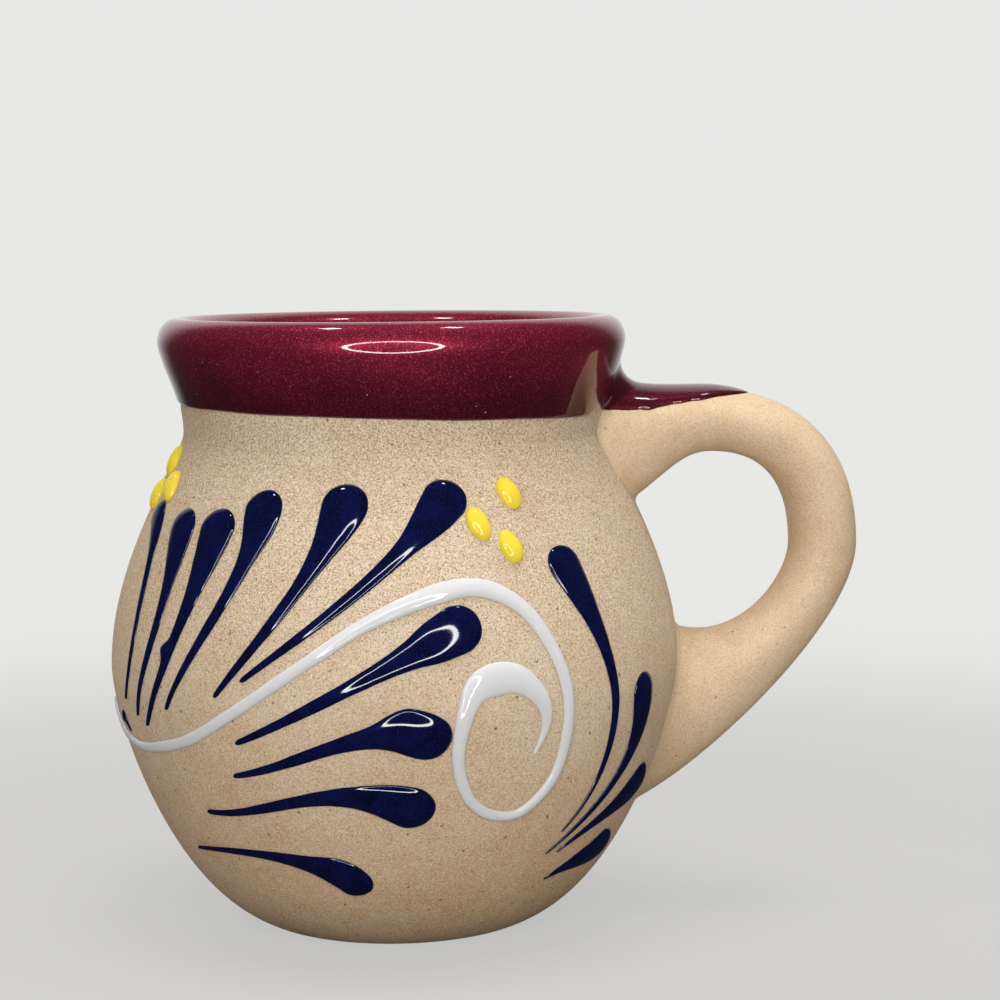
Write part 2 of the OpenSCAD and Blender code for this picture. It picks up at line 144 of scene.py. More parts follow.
class Finish:
    # The node tree of a material or world, whose nodes are added one call at a time
    def __init__(self, owner):
        self.owner, self.tree = owner, owner.node_tree
        self.tree.nodes.clear()

    def node(self, kind, settings=None, inputs=None, out=0):
        made = self.tree.nodes.new(kind)
        for key, value in (settings or {}).items():
            setattr(made, key, value)
        for key, value in (inputs or {}).items():
            if isinstance(value, Flow):
                self.tree.links.new(value.socket, made.inputs[key])
            else:
                made.inputs[key].default_value = value
        return Flow(self, made.outputs[out]) if len(made.outputs) else made

    def math(self, operation, *values):
        return self.node("ShaderNodeMath", {"operation": operation}, dict(enumerate(values)))

    def step(self, low, high, value):
        return self.node("ShaderNodeMapRange", {"interpolation_type": "SMOOTHSTEP"},
                         {"Value": value, "From Min": low, "From Max": high})

    def mix(self, share, a, b):
        return self.node("ShaderNodeMix", {"data_type": "RGBA"}, {0: share, 6: a, 7: b}, out=2)

    def scaled(self, vector, by):
        return self.node("ShaderNodeVectorMath", {"operation": "SCALE"}, {0: vector, 3: by})

    def millimetres(self):
        return self.scaled(self.node("ShaderNodeTexCoord", out=3), 1 / mm)

    def noise(self, place, scale, detail, roughness=0.55):
        return self.node("ShaderNodeTexNoise", {"noise_dimensions": "3D"},
                         {"Vector": place, "Scale": scale, "Detail": detail, "Roughness": roughness})

    def specks(self, place, scale, least, size, edge):
        # Round dots, one in each cell whose own random number is over least, that grow with that number
        cell = {"Vector": place, "Scale": scale, "Randomness": 1.0}
        distance = self.node("ShaderNodeTexVoronoi", {"feature": "F1"}, cell)
        colour = self.node("ShaderNodeTexVoronoi", {"feature": "F1"}, cell, out=1)
        chance = self.node("ShaderNodeSeparateColor", {}, {0: colour})
        radius = self.step(least, 1.0, chance) * size
        return self.step(0.0, edge, radius - distance)

    def close(self, shader, kind="ShaderNodeOutputMaterial"):
        self.node(kind, {}, {"Surface": shader})
        return self.owner


def newFinish(name):
    material = bpy.data.materials.new(name)
    material.use_nodes = True
    return Finish(material)


def rgb(red, green, blue):
    # Linear colour from screen values of 0 to 255
    share = np.array([red, green, blue]) / 255
    linear = np.where(share > 0.04045, ((share + 0.055) / 1.055) ** 2.4, share / 12.92)
    return (*linear.tolist(), 1.0)


# In the finishes below a noise is its scale per millimetre, its detail and its roughness. Specks are
# their cells per millimetre, the least random number of a cell that gets one, their size and their
# soft edge. A range or a pair of heights is where a smooth step starts and where it is full. Bumps
# and pits are in millimetres.

# Fired clay: buff, with a fine light and dark grain, dark grog specks and the lines of the turning. Painted
# shade makes it warmer and darker towards the foot, and painted light and shade make the grain stronger
# towards the top

clayFinish = {
    # Painted light: the handle's buff is a lighter copy of the body's buff, which brightens the handle where
    # the lamps light it less
    "buff": rgb(220, 199, 171), "handlePaintedLightBuff": rgb(226, 200, 166), "warm": rgb(201, 167, 127),
    "pale": rgb(236, 221, 201), "grog": rgb(92, 66, 46),
    "roughness": 0.86, "roughnessSpread": 0.12, "specular": 0.35,
    "paintedShadeHeights": (46.0, 6.0), "paintedGrainHeights": (38.0, 62.0),  # painted shade: warmer and darker downwards; painted light and shade: stronger grain upwards
    "cloud": (0.045, 3), "blotch": (0.33, 2), "grain": (3.2, 3, 0.7), "fine": (4.8, 2, 0.6),
    "lines": (0.9, 2), "lineStretch": (0.05, 0.05, 1.0),
    "bigSpecks": (0.62, 0.45, 0.17, 0.05), "smallSpecks": (2.1, 0.4, 0.27, 0.12),
    "cloudRange": (0.3, 0.72), "blotchRange": (0.35, 0.7),
    "paleRange": (0.52, 0.74), "darkRange": (0.52, 0.28), "fineRange": (0.5, 0.32),
    "cloudWarmth": 0.4, "blotchWarmth": 0.25, "paintedLowShade": 0.5,
    "paleShare": 0.8, "darkShare": 0.42, "bigShare": 0.75, "smallShare": 0.6,
    "grainBump": 0.022, "fineBump": 0.012, "lineBump": 0.05, "bigPit": 0.03, "smallPit": 0.012,
}


def clayMaterial(name, base, speckle, upperPaintedGrain, turning):
    f, look = newFinish(name), clayFinish
    place = f.millimetres()
    z = f.node("ShaderNodeSeparateXYZ", {}, {0: place}, out=2)
    # Painted shade: below these heights the clay is mixed towards the darker, warmer colour
    low = f.step(*look["paintedShadeHeights"], z)
    # Painted light and shade: above these heights the pale and dark grain grows stronger, as under light
    # grazing from above
    gritAndPaintedGrain = speckle + upperPaintedGrain * f.step(*look["paintedGrainHeights"], z)
    cloud = f.noise(place, *look["cloud"])
    blotch = f.noise(place, *look["blotch"])
    grain = f.noise(place, *look["grain"])
    fine = f.noise(place, *look["fine"])
    # Random warm clouds and blotches, and the painted shade of the lower pot
    toneAndPaintedShade = (f.step(*look["cloudRange"], cloud) * look["cloudWarmth"]
              + f.step(*look["blotchRange"], blotch) * look["blotchWarmth"] + low * look["paintedLowShade"])
    colour = f.mix(toneAndPaintedShade, look[base], look["warm"])
    colour = f.mix(f.step(*look["paleRange"], grain) * (look["paleShare"] * gritAndPaintedGrain), colour, look["pale"])
    colour = f.mix(f.step(*look["darkRange"], grain) * (look["darkShare"] * gritAndPaintedGrain), colour, look["grog"])
    colour = f.mix(f.step(*look["fineRange"], fine) * (look["darkShare"] * gritAndPaintedGrain), colour, look["grog"])
    big = f.specks(place, *look["bigSpecks"])
    small = f.specks(place, *look["smallSpecks"])
    colour = f.mix(big * (look["bigShare"] * speckle), colour, look["grog"])
    colour = f.mix(small * (look["smallShare"] * gritAndPaintedGrain), colour, look["grog"])
    rows = f.node("ShaderNodeVectorMath", {"operation": "MULTIPLY"}, {0: place, 1: look["lineStretch"]})
    lines = f.noise(rows, *look["lines"])
    height = (grain * look["grainBump"] + fine * look["fineBump"] + lines * (look["lineBump"] * turning)
              - big * look["bigPit"] - small * look["smallPit"])
    bump = f.node("ShaderNodeBump", {}, {"Strength": 1.0, "Distance": mm, "Height": height})
    roughness = look["roughness"] + (blotch - 0.5) * look["roughnessSpread"]
    return f.close(f.node("ShaderNodeBsdfPrincipled", {}, {
        "Base Color": colour, "Roughness": roughness,
        "Specular IOR Level": look["specular"], "Normal": bump}))


# Burgundy glaze: deep, full of fine metal flecks under a clear gloss, with painted light that turns it redder
# and more flecked towards the lip

glazeFinish = {
    # Painted light: red is the lighter colour that the glaze is painted towards the lip
    "deep": rgb(80, 16, 34), "red": rgb(128, 27, 51),
    "fleck": rgb(238, 104, 122), "spark": rgb(255, 190, 180),
    "metallic": 0.6, "roughness": 0.4, "specular": 0.1, "coatRoughness": 0.03, "coatIor": 1.5,
    "paintedLightHeights": (83.0, 94.5), "paintedLightSpread": 8,  # painted light: lighter red upwards, give or take half the spread
    "cloud": (0.12, 3), "dust": (4.0, 1, 0.5), "dustRange": (0.5, 0.85),
    "flecks": (3.0, 0.3, 0.3, 0.14), "sparks": (0.8, 0.7, 0.13, 0.05),
    "dustLeast": 0.2, "dustPaintedRise": 0.45, "fleckLeast": 0.3, "fleckPaintedRise": 0.7, "sparkShare": 0.85,
    "wave": (0.13, 1), "waveBump": 0.07,
}


def glazeMaterial(name):
    f, look = newFinish(name), glazeFinish
    place = f.millimetres()
    height = f.node("ShaderNodeSeparateXYZ", {}, {0: place}, out=2)
    cloud = f.noise(place, *look["cloud"])
    # Painted light: towards the lip the glaze turns to the lighter red and its dust and flecks grow
    paintedLightUpper = f.step(*look["paintedLightHeights"], height + (cloud - 0.5) * look["paintedLightSpread"])
    colour = f.mix(paintedLightUpper, look["deep"], look["red"])
    dust = f.step(*look["dustRange"], f.noise(place, *look["dust"]))
    flecks = f.specks(place, *look["flecks"])
    sparks = f.specks(place, *look["sparks"])
    colour = f.mix(dust * (paintedLightUpper * look["dustPaintedRise"] + look["dustLeast"]), colour, look["fleck"])
    colour = f.mix(flecks * (paintedLightUpper * look["fleckPaintedRise"] + look["fleckLeast"]), colour, look["fleck"])
    colour = f.mix(sparks * look["sparkShare"], colour, look["spark"])
    wave = f.noise(place, *look["wave"]) * look["waveBump"]
    bump = f.node("ShaderNodeBump", {}, {"Strength": 1.0, "Distance": mm, "Height": wave})
    return f.close(f.node("ShaderNodeBsdfPrincipled", {}, {
        "Base Color": colour, "Roughness": look["roughness"], "Metallic": look["metallic"],
        "Coat Weight": 1.0, "Coat Roughness": look["coatRoughness"], "Coat IOR": look["coatIor"],
        "Specular IOR Level": look["specular"], "Normal": bump}))


# Slips: glossy coloured clay, trailed on in raised lines

slipFinishes = {
    "navySlip": {"body": rgb(9, 15, 58), "shade": rgb(5, 7, 32), "fleck": rgb(52, 64, 140),
                 "flecks": 0.26, "clouds": 0.7, "roughness": 0.06},
    "whiteSlip": {"body": rgb(217, 216, 216), "shade": rgb(202, 202, 206), "fleck": rgb(240, 240, 240),
                  "flecks": 0.2, "clouds": 0.2, "roughness": 0.07},
    "yellowSlip": {"body": rgb(241, 216, 68), "shade": rgb(222, 184, 44), "fleck": rgb(255, 240, 140),
                   "flecks": 0.2, "clouds": 0.2, "roughness": 0.09},
}
slipPattern = {
    "cloud": (0.3, 2), "grain": (3.4, 2, 0.65), "cloudRange": (0.35, 0.7), "grainRange": (0.54, 0.78),
    "wave": (0.35, 0), "waveBump": 0.03,
}


def slipMaterial(name):
    f, look, k = newFinish(name), slipFinishes[name], slipPattern
    place = f.millimetres()
    cloud = f.noise(place, *k["cloud"])
    grain = f.noise(place, *k["grain"])
    colour = f.mix(f.step(*k["cloudRange"], cloud) * look["clouds"], look["body"], look["shade"])
    colour = f.mix(f.step(*k["grainRange"], grain) * look["flecks"], colour, look["fleck"])
    wave = f.noise(place, *k["wave"]) * k["waveBump"]
    bump = f.node("ShaderNodeBump", {}, {"Strength": 1.0, "Distance": mm, "Height": wave})
    return f.close(f.node("ShaderNodeBsdfPrincipled", {}, {
        "Base Color": colour, "Roughness": look["roughness"], "Normal": bump}))


clayBody = clayMaterial("clayBody", "buff", speckle=1.0, upperPaintedGrain=0.55, turning=1.0)
# Painted light: the handle takes the lighter copy of the buff
clayHandle = clayMaterial("clayHandle", "handlePaintedLightBuff", speckle=0.6, upperPaintedGrain=0.0, turning=0.0)
burgundyGlaze = glazeMaterial("burgundyGlaze")
slips = {name: slipMaterial(name) for name in slipFinishes}
print("materials made:", len(bpy.data.materials))


# The pot: an outline of [radius, height] turned round the axis

potShape = {
    "footR": 22.0, "footFlare": 15.5, "footLift": 6.0, "footEdge": 0.7,
    "bellyR": 46.0, "bellyZ": 42.0, "bellyDrop": 8.0, "bellyRise": 17.0,
    "neckR": 33.7, "neckZ": 79.0, "neckDrop": 3.0, "wall": 4.5,
    "floorT": 6.0, "floorR": 14.0, "innerPullShare": 0.8,
    "collarZ": 83.0, "collarFlare": 0.4, "collarR": 37.1, "lipH": 3.2, "rimZ": 97.0,
    "crestR": 34.6, "mouthR": 31.4, "rootPull": 0.12, "fullPull": 0.24, "around": 288,
    "footRings": (0.3, 0.6, 0.85), "footCurl": 0.1,
    # How far the wall strays inwards, and the heights between which that sets in and dies away
    "wander": 0.12, "wanderFrom": (2, 20), "wanderTo": (70, 80),
    # How the collar's lower edge climbs and falls, the heights for that, and the angles from the
    # handle, in radians, between which it sets in
    "tilt": 1.15, "tiltTurn": 10.0, "uneven": 0.12,
    "askewFrom": (77.0, 83.0), "askewTo": (84.0, 93.0), "askewAway": (0.3, 0.55),
}


def bodyControls(p):
    midZ, rootR = (p["neckZ"] + p["collarZ"]) / 2, p["neckR"] + p["collarFlare"]
    return [(p["footR"], 0), (p["footR"] + p["footFlare"], p["footLift"]),
            (p["bellyR"], p["bellyZ"] - p["bellyDrop"]), (p["bellyR"], p["bellyZ"]),
            (p["bellyR"], p["bellyZ"] + p["bellyRise"]), (p["neckR"], p["neckZ"] - p["neckDrop"]),
            (p["neckR"], p["neckZ"]), (p["neckR"], midZ), (rootR, midZ), (rootR, p["collarZ"])]


def collarOutline(p, steps):
    # A cubic curve out to the fullest ring, then two quarter ellipses over the lip to the mouth
    rootR, fullZ = p["neckR"] + p["collarFlare"], p["rimZ"] - p["lipH"]
    tall = fullZ - p["collarZ"]
    side = joined([(rootR, p["collarZ"]),
                   (rootR + (p["collarR"] - rootR) * p["rootPull"], p["collarZ"] + tall * p["rootPull"]),
                   (p["collarR"], fullZ - tall * p["fullPull"]), (p["collarR"], fullZ)], [steps])
    outer = quarterEllipse((p["crestR"], fullZ), p["collarR"] - p["crestR"], p["lipH"], steps // 2, 0, 90)
    inner = quarterEllipse((p["crestR"], fullZ), p["crestR"] - p["mouthR"], p["lipH"], steps // 2, 90, 180)
    return np.vstack([side, outer, inner])


def insideOutline(p, steps):
    innerNeck, innerBelly, fullZ = p["neckR"] - p["wall"], p["bellyR"] - p["wall"], p["rimZ"] - p["lipH"]
    return joined([(p["mouthR"], fullZ), (p["mouthR"], p["collarZ"]), (innerNeck, p["collarZ"]),
                   (innerNeck, p["neckZ"] - p["neckDrop"]), (innerNeck, p["neckZ"] - 2 * p["neckDrop"]),
                   (innerBelly, p["bellyZ"] + p["bellyRise"]), (innerBelly, p["bellyZ"]),
                   (innerBelly, p["bellyZ"] - p["bellyDrop"]),
                   (p["floorR"] + p["footFlare"] * p["innerPullShare"], p["floorT"]),
                   (p["floorR"], p["floorT"])], steps)


bodyOutline = joined(bodyControls(potShape), [400, 400, 60])
outerOutline = np.vstack([bodyOutline, collarOutline(potShape, 60)[1:91]])


def potRadius(z):
    return np.interp(z, bodyOutline[:, 1], bodyOutline[:, 0])


def potSlope(z, reach=0.4):
    return (potRadius(z + reach) - potRadius(z - reach)) / (2 * reach)


def movedOut(line, distance):
    # A line of [radius, height] moved along its own normal, (dz, -dr) over their length
    run = np.gradient(line, axis=0)
    run /= np.linalg.norm(run, axis=1)[:, None]
    return line + np.stack([run[:, 1], -run[:, 0]], -1) * np.reshape(distance, (-1, 1))


def strayed(radius, z, theta):
    # The wall strays inwards by a slow ripple, most at mid height and never outwards
    p = potShape
    depth = p["wander"] * smoothStep(*p["wanderFrom"], z) * (1 - smoothStep(*p["wanderTo"], z))
    return radius - depth * (0.5 + 0.5 * roundRipple(3, theta, [2, 3, 5]))


def wavered(r, z, theta):
    # The collar's lower edge lies askew: outside it climbs by -tilt cos(a + turn), and not at the handle
    p = potShape
    reach = smoothStep(*p["askewFrom"], z) * (1 - smoothStep(*p["askewTo"], z))
    reach = reach * (r > p["neckR"] - p["wall"] / 3)
    away = smoothStep(*p["askewAway"], np.abs(np.angle(np.exp(1j * theta))))
    uneven = p["uneven"] * roundRipple(17, theta, [3, 4, 7])
    climb = uneven - p["tilt"] * np.cos(theta + np.radians(p["tiltTurn"]))
    return z + reach * away * climb


def turned(outline, around, stray=False):
    # Each point of the outline carried round the axis: (r cos a, -r sin a, z)
    theta = np.arange(around) * 2 * np.pi / around
    r, z = np.repeat(outline[:, :1], around, 1), np.repeat(outline[:, 1:], around, 1)
    z = wavered(r, z, theta)
    r = strayed(r, z, theta) if stray else r
    return np.stack([r * np.cos(theta), -r * np.sin(theta), z], -1)


def potOutline(p):
    edge = p["footEdge"]
    foot = [(p["footR"] * share, 0.0) for share in p["footRings"]]
    bend = bezier((p["footR"] - edge, 0), (p["footR"], 0), (p["footR"] + edge / 2, p["footCurl"]),
                  (potRadius(edge), edge), np.linspace(0, 1, 7))
    body = joined(bodyControls(p), [64, 60, 10])
    body = body[body[:, 1] > edge * 1.2]
    return np.vstack([foot, bend, body, collarOutline(p, 12)[1:], insideOutline(p, [8, 24, 24])[1:]])


floorCentre = (0, 0, potShape["floorT"])
addPiece("clayPot", [(turned(potOutline(potShape), potShape["around"], True), (0, 0, 0), floorCentre)],
         clayBody, ["clay_pot"])
print("pot made")


# The glaze coat: over the collar and the lip and down the inside, in one skin

coatShape = {
    "seat": 0.05, "sink": 0.05, "thick": 0.4, "edge": 0.7, "around": 360, "underSteps": 40,
    "edgeWander": 0.35, "wanderReach": 2.0, "ripple": 0.05, "rippleFrom": (1, 4),
    "swell": 0.12, "swellZ": 93.6, "swellReach": 1.5,  # fuller round the widest ring
}


def coatRings(p, c):
    # The top skin lies on the clay's line moved out by seat + thick, thinned to a round edge at its
    # lower end, and the skin under it follows the clay back to the middle of the floor
    line = np.vstack([collarOutline(p, 44), insideOutline(p, [30, 50, 50])[1:]])
    along = np.r_[0, np.cumsum(np.linalg.norm(np.diff(line, axis=0), axis=1))]
    u = np.clip(along / c["edge"], 0, 1)
    outer = line[:, 0] > p["crestR"]
    full = c["swell"] * outer * np.exp(-((line[:, 1] - c["swellZ"]) / c["swellReach"]) ** 2)
    top = movedOut(line, c["seat"] + c["thick"] * np.sqrt(1 - (1 - u) ** 2) + full)
    under = movedOut(line, -c["sink"])
    keep = np.unique(np.linspace(0, len(line) - 1, c["underSteps"]).astype(int))
    rings = turned(np.vstack([top[::-1], under[keep]]), c["around"])
    theta = np.arange(c["around"]) * 2 * np.pi / c["around"]
    near = np.r_[along[::-1], along[keep]][:, None]
    wander = roundRipple(11, theta, [2, 3, 5, 8, 13]) - 0.5
    sag = c["edgeWander"] * np.exp(-(near / c["wanderReach"]) ** 2) * wander
    outside = np.r_[np.ones(len(top)), np.zeros(len(keep))][:, None]
    inwards = (roundRipple(7, theta, [3, 4, 7, 9]) - 1) / 2
    swell = c["ripple"] * outside * smoothStep(*c["rippleFrom"], near) * inwards
    radius = np.hypot(rings[..., 0], rings[..., 1])
    rings[..., :2] *= (1 + swell / np.maximum(radius, 1))[..., None]
    rings[..., 2] += sag
    return rings


floorTop = (0, 0, potShape["floorT"] + coatShape["seat"] + coatShape["thick"])
addPiece("glazeCoat", [(coatRings(potShape, coatShape), floorTop, floorCentre)],
         burgundyGlaze, ["rim_glaze", "liner_glaze"])
print("glaze coat made")


# The handle: an oval section carried between two side outlines, seated on the pot with a fillet

handleShape = {
    "outLine": [(24.7, 91.7), (37.1, 85.0), (39.88, 85.4), (50, 85.4), (61.22, 85.4), (75.5, 80.07),
                (75.5, 60), (75.5, 42.78), (33.7, 9), (33.7, 18)],
    "inLine": [(24.7, 62), (41.5, 64.6), (43.765, 75), (51.45, 75), (60.15, 75), (64.5, 69.9),
               (64.5, 60), (64.5, 52.2), (52.03, 38.74), (39.25, 50.5)],
    "width": 14.0, "upperRoot": 3.5, "lowerRoot": 3.0,
    "fillet": 1.1, "glazedFillet": 0.3, "sink": 0.6, "along": 150, "around": 72,
    "ends": (0.15, 2.97),  # the places t between which the oval may stand clear of the pot
    "bareTurn": (1.0, 1.4), "bareFrom": 1.5,  # past these angles, and past this t, it has no glaze
}
# How the pot's side is read near the handle: the heights from the collar's lower edge between which
# the glaze coat sets in, how far to either side the slope is read, and its least and most
gapShape = {"coatFrom": (-0.5, 0.8), "reach": 0.5, "slopes": (-1.5, 1.0)}


def linePoint(controls, t):
    # The point at t, from 0 to 3, on three cubic curves end to end
    k = np.minimum(t.astype(int), 2)
    c = np.asarray(controls, float)
    return bezier(c[3 * k], c[3 * k + 1], c[3 * k + 2], c[3 * k + 3], t - k)


def handlePoint(h, t, v, lift=0.0):
    # mid + half cos v + width sin v, moved along the oval's normal by lift
    outer, inner = linePoint(h["outLine"], t), linePoint(h["inLine"], t)
    half, mid = (outer - inner) / 2, (outer + inner) / 2
    roots = h["upperRoot"] * np.clip(1 - t, 0, 1) ** 2 + h["lowerRoot"] * np.clip(t - 2, 0, 1) ** 2
    w = h["width"] / 2 + roots
    r = np.linalg.norm(half, axis=-1)
    nr, nw = np.cos(v) / r, np.sin(v) / w
    size = np.hypot(nr, nw)
    out = (r * np.cos(v) + lift * nr / size) / r
    return np.stack([mid[..., 0] + half[..., 0] * out, w * np.sin(v) + lift * nw / size,
                     mid[..., 1] + half[..., 1] * out], -1)


def potGap(points, coat=0.0):
    # Distance out from the pot, and the direction away from it
    z = np.clip(points[..., 2], 0, potShape["rimZ"])
    side = np.hypot(points[..., 0], points[..., 1])
    coatLow, coatHigh = gapShape["coatFrom"]
    onCollar = smoothStep(potShape["collarZ"] + coatLow, potShape["collarZ"] + coatHigh, z)
    radius = np.interp(z, outerOutline[:, 1], outerOutline[:, 0]) + coat * onCollar
    reach = gapShape["reach"]
    slope = (np.interp(z + reach, outerOutline[:, 1], outerOutline[:, 0])
             - np.interp(z - reach, outerOutline[:, 1], outerOutline[:, 0])) / (2 * reach)
    slope = np.clip(slope, *gapShape["slopes"])
    steep = np.sqrt(1 + slope ** 2)
    away = np.stack([points[..., 0] / side / steep, points[..., 1] / side / steep, -slope / steep], -1)
    return (side - radius) / steep, away


def seated(points, outward, fillet, coat=0.0):
    # Near the pot a point moves along outward by the gap of a quarter circle of the fillet's radius,
    # f - sqrt(f^2 - (f - d)^2), and keeps its own distance d from the pot
    gap, away = potGap(points, coat)
    short = np.clip(fillet - gap, 0, fillet)
    moved = points + outward * (fillet - np.sqrt(fillet ** 2 - short ** 2))[..., None]
    for _ in range(4):
        now, away = potGap(moved, coat)
        moved += away * np.where(short > 0, gap - now, 0)[..., None]
    return moved


def handleRings(h):
    v = np.arange(h["around"]) * 2 * np.pi / h["around"]
    fine = np.linspace(0, 3, 1201)
    gap = potGap(handlePoint(h, *np.meshgrid(fine, v, indexing="ij")))[0] > 0
    least, most = h["ends"]
    outside = (fine[:, None] > least) & (fine[:, None] < most) & gap
    first = fine[np.argmax(outside, axis=0)]
    last = fine[len(fine) - 1 - np.argmax(outside[::-1], axis=0)]
    # Rings crowd towards both roots, where the fillets are
    share = (1 - np.cos(np.linspace(0, np.pi, h["along"]))) / 2
    t = first[None, :] + (last - first)[None, :] * share[:, None]
    vv = np.broadcast_to(v, t.shape)
    body = handlePoint(h, t, vv)
    normal = handlePoint(h, t, vv, 1.0) - body
    bare = np.maximum(smoothStep(*h["bareTurn"], np.abs(np.angle(np.exp(1j * vv)))), t > h["bareFrom"])
    body = seated(body, normal, h["glazedFillet"] + (h["fillet"] - h["glazedFillet"]) * bare)
    away = potGap(body)[1]
    sunk = [body[0] - away[0] * h["sink"], body[-1] - away[-1] * h["sink"]]
    return np.concatenate([sunk[:1], body, sunk[1:]])


handleGrid = handleRings(handleShape)
addPiece("pulledHandle", [(handleGrid, handleGrid[0].mean(0), handleGrid[-1].mean(0))],
         clayHandle, ["handle"])
print("handle made")


# The glaze that ran along the top of the handle: it fills the corner under the collar with a wide
# fillet, thins to its edges and ends in a blunt tongue
runShape = {
    "turn": 58.0, "length": 11 / 9, "thick": 0.6, "edge": 0.24, "tip": 0.06, "power": 5, "sink": 0.2,
    "fillet": 4.6, "filletFade": 0.75, "wander": 0.03, "wanderRate": 14, "thinning": 1.4,
    "along": 110, "across": 48, "crowding": 1.3,
}


def runRings(h, run):
    s = -np.cos(np.linspace(0, np.pi, run["across"]))
    fine = np.linspace(h["ends"][0], 1, 600)
    tt, vv = np.meshgrid(fine, s * np.radians(run["turn"]), indexing="ij")
    first = fine[np.argmax(potGap(handlePoint(h, tt, vv), coatShape["thick"])[0] > 0, axis=0)]
    share = np.linspace(0, 1, run["along"])[:, None] ** run["crowding"]
    t = first + (run["length"] - first) * share
    blunt = np.sqrt(np.clip(1 - (t / run["length"]) ** run["power"], 0, 1))
    blunt = np.maximum(blunt, run["tip"])
    wander = run["wander"] * ripple(21, t[:, :1] * run["wanderRate"])
    v = s * np.radians(run["turn"]) * blunt * (1 + wander)
    edge = np.clip((np.abs(s) - 1) / run["edge"] + 1, 0, 1)  # a quarter ellipse down each side
    thick = run["thick"] * np.sqrt(1 - edge ** 2) * np.minimum(blunt * run["thinning"], 1)
    normal = handlePoint(h, t, v, 1.0) - handlePoint(h, t, v)
    fillet = run["fillet"] * (1 - run["filletFade"] * s ** 2)
    top = seated(handlePoint(h, t, v, thick), normal, fillet, coatShape["thick"])
    under = handlePoint(h, t, v, -run["sink"])
    return np.concatenate([top, under[:, ::-1][:, 1:-1]], axis=1)


runGrid = runRings(handleShape, runShape)
addPiece("handleGlazeRun", [(runGrid, runGrid[0].mean(0), runGrid[-1].mean(0))],
         burgundyGlaze, ["handle_glaze"])
print("glaze run made")


# Slip beads: a domed section carried along a line of places on the pot.
# A place is [degrees from the handle, height], positive degrees towards the front.

beadSeat = {"lift": 0.02, "sink": 0.15}  # how far over and under the clay a bead's edge and underside lie


def onPot(place, lift):
    # The pot's point at a place, moved out along the wall's normal by lift
    slope = potSlope(place[..., 1])
    steep = np.sqrt(1 + slope ** 2)
    r = potRadius(place[..., 1]) + lift / steep
    a = np.radians(place[..., 0])
    return np.stack([r * np.cos(a), -r * np.sin(a), place[..., 1] - lift * slope / steep], -1)


def beadShell(places, widths, heights, k, aside=0.0):
    # Across each place the lift is height (1 - |s|^p)^(1/q), with s from edge to edge, and the
    # whole section lies aside of the line by the given distance. The underside needs fewer points.
    s = -np.cos(np.linspace(0, np.pi, k["across"]))
    z = places[:, 1]
    r, steep = potRadius(z), np.sqrt(1 + potSlope(z) ** 2)
    run = np.gradient(places, axis=0)
    east, north = np.radians(run[:, 0]) * r, run[:, 1] * steep
    size = np.hypot(east, north)
    shift = widths[:, None] / 2 * s + np.broadcast_to(aside, widths.shape)[:, None]
    angle = places[:, :1] - np.degrees(shift * (north / size / r)[:, None])
    height = z[:, None] + shift * (east / size / steep)[:, None]
    power, root = k["dome"]
    lift = beadSeat["lift"] + heights[:, None] * (1 - np.abs(s) ** power) ** (1 / root)
    spread = np.stack([angle, height], -1)
    top = onPot(spread, lift)
    under = onPot(spread[:, ::-6][:, 1:-1], -beadSeat["sink"])
    rings = np.concatenate([top, under], axis=1)
    return rings[1:-1], onPot(places[0], beadSeat["lift"]), onPot(places[-1], beadSeat["lift"])


def spaced(points, stations):
    # Points of a line at the given distances along it, measured on the pot
    run = np.r_[0, np.cumsum(np.linalg.norm(np.diff(onPot(points[:, :2], 0), axis=0), axis=1))]
    far = stations(run[-1])
    return far, run[-1], np.stack([np.interp(far, run, points[:, k]) for k in range(points.shape[1])], -1)


strokeShape = {
    "width": 8.0, "height": 0.96, "tailHeight": 0.15, "dome": (2.2, 1.8), "across": 26,
    "tail": 0.12, "taper": 0.34, "nearPoint": 0.6, "waver": 0.035, "waverRate": 0.55,
    "headRings": 22, "tailRings": 84, "tipRings": 8,
}

